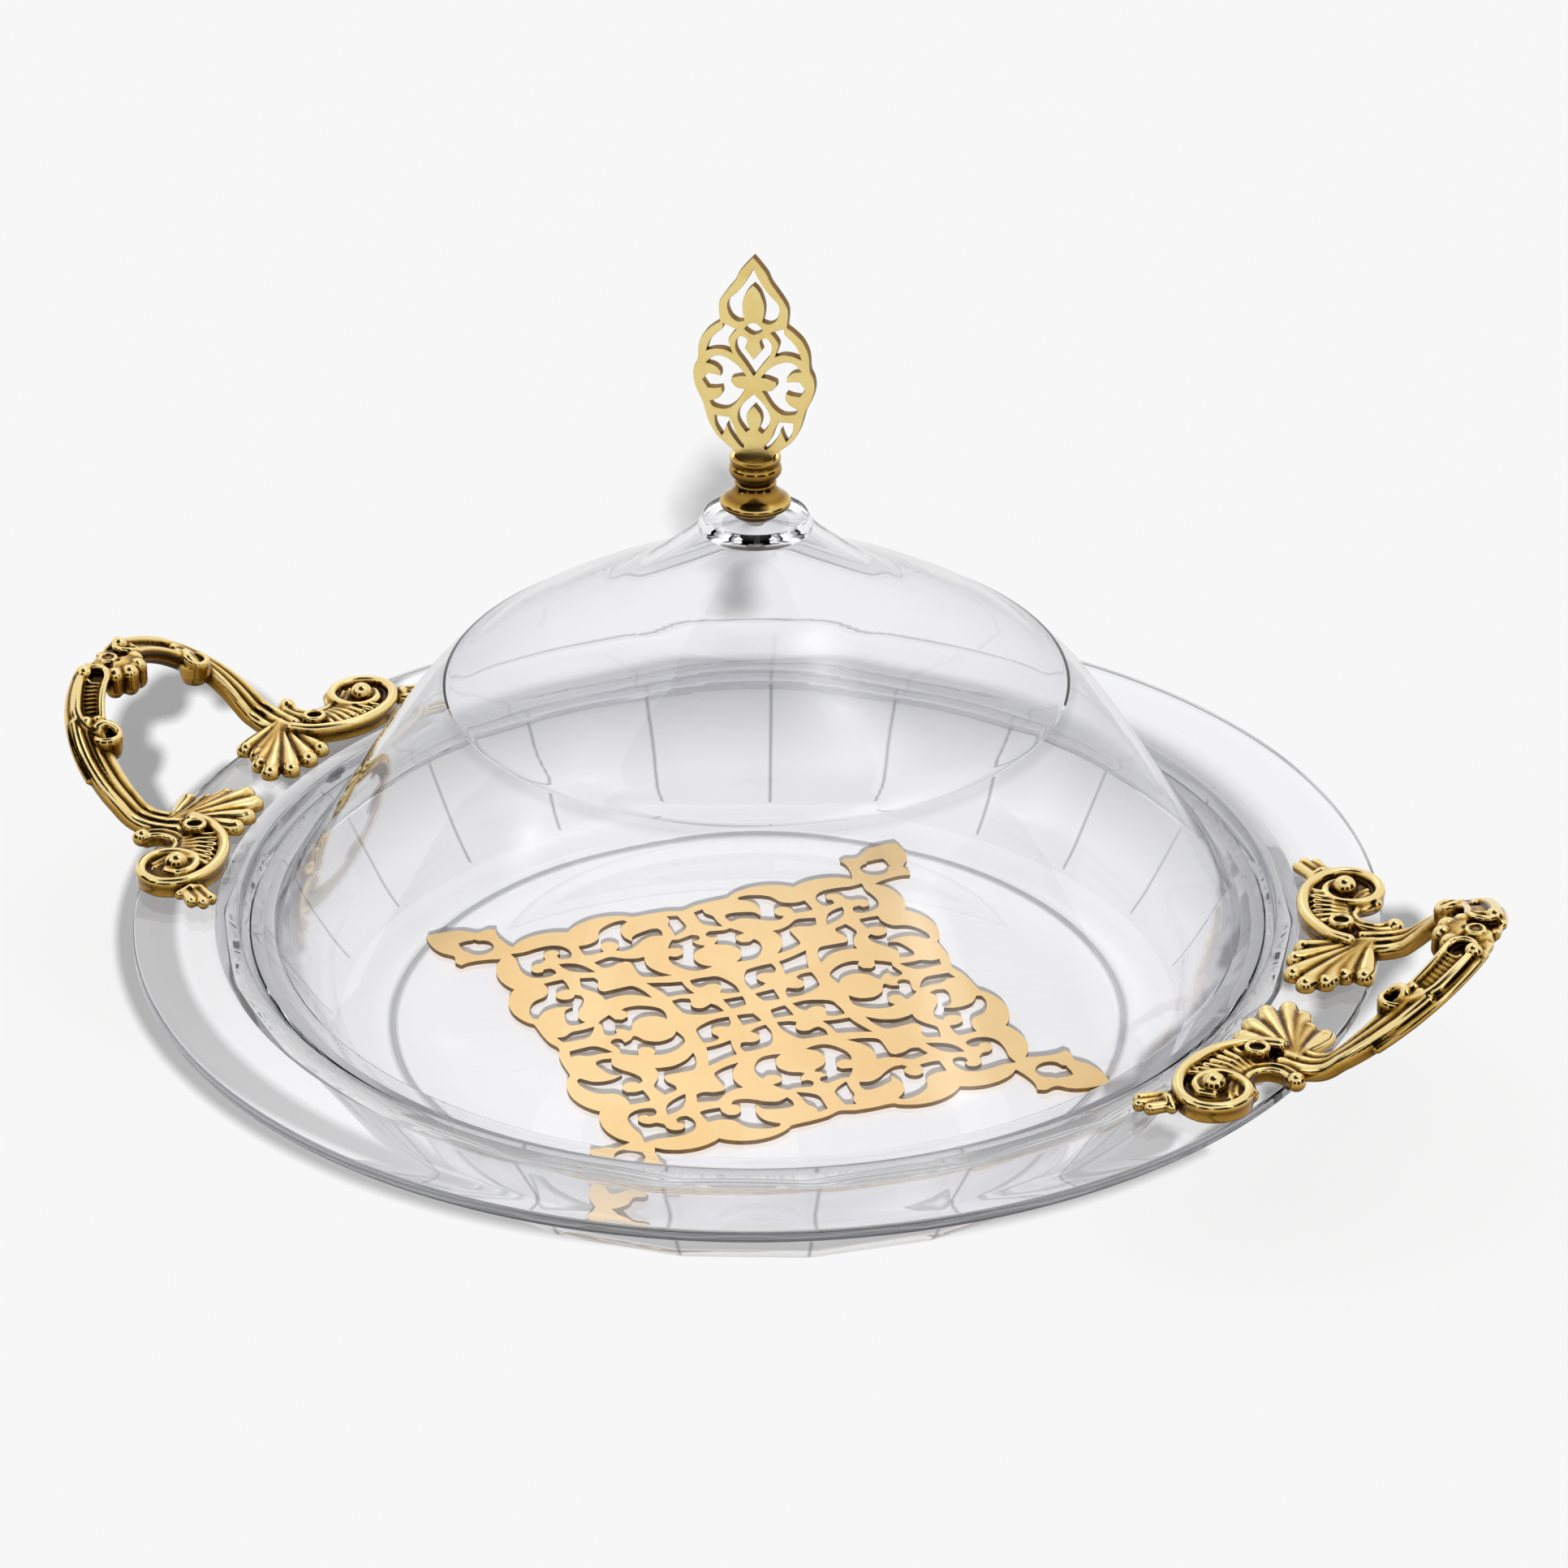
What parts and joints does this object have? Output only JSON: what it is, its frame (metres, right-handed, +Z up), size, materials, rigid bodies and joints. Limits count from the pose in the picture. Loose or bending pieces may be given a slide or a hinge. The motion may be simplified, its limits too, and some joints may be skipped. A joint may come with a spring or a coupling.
{
  "type": "covered serving tray",
  "caption": "Round clear serving tray with a faceted well, bell cover with openwork knob, cast scroll handles and an openwork gold sheet.",
  "frame": {"origin": "centre of the tray's underside, on the plane it stands on", "axes": "+Z up; +X towards one handle, the other handle is on -X; one diagonal of the openwork sheet lies on X"},
  "size_m": [0.4878, 0.4, 0.2675],
  "materials": {
    "clear_plastic": "clear gloss",
    "polished_gold": "polished",
    "satin_gold": "satin",
    "sheet_gold": "satin",
    "steel": "plain"
  },
  "bodies": {
    "root": {"tray": "clear_plastic", "cover": "clear_plastic", "lattice_insert": "sheet_gold", "finial_plate": "satin_gold", "finial_foot": "polished_gold", "finial_screw": "steel", "finial_washer": "steel", "handle_left": "polished_gold", "handle_right": "polished_gold", "handle_screws": "steel", "handle_washers": "steel"}
  },
  "joints": []
}
